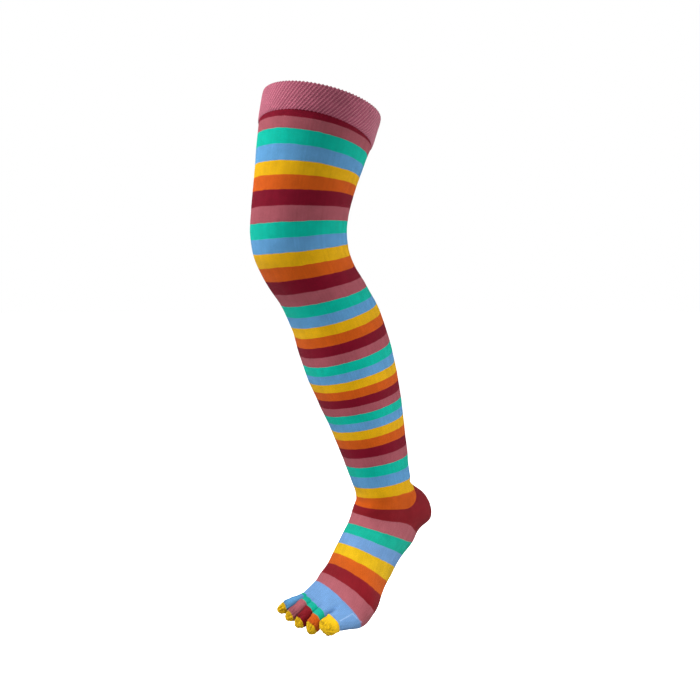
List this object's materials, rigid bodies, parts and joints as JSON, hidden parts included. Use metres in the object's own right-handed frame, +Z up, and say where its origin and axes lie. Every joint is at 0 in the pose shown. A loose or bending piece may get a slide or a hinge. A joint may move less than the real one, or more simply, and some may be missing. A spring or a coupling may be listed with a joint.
{
  "type": "over-knee toe sock",
  "caption": "Thigh-high striped knitted sock for a right foot, with a ribbed welt, a turned heel and a separate pocket for each toe, in its worn form.",
  "frame": {"origin": "middle of the top opening", "axes": "+Z up along the worn leg, -Y towards the toes, +X towards the inner side of the right leg"},
  "size_m": [0.15, 0.2906, 0.6921],
  "materials": {
    "rib_knit_mauve": "ribbed elastic knit",
    "striped_knit": "stretched plain knit in stripes of six yarns",
    "heel_knit": "plain knit",
    "foot_knit": "plain knit in stripes of six yarns",
    "big_toe_knit": "plain knit",
    "second_toe_knit": "plain knit",
    "third_toe_knit": "plain knit",
    "fourth_toe_knit": "plain knit",
    "little_toe_knit": "plain knit"
  },
  "bodies": {
    "root": {"welt": "rib_knit_mauve", "leg": "striped_knit", "heel": "heel_knit", "foot": "foot_knit", "big_toe": "big_toe_knit", "second_toe": "second_toe_knit", "third_toe": "third_toe_knit", "fourth_toe": "fourth_toe_knit", "little_toe": "little_toe_knit"}
  },
  "joints": []
}
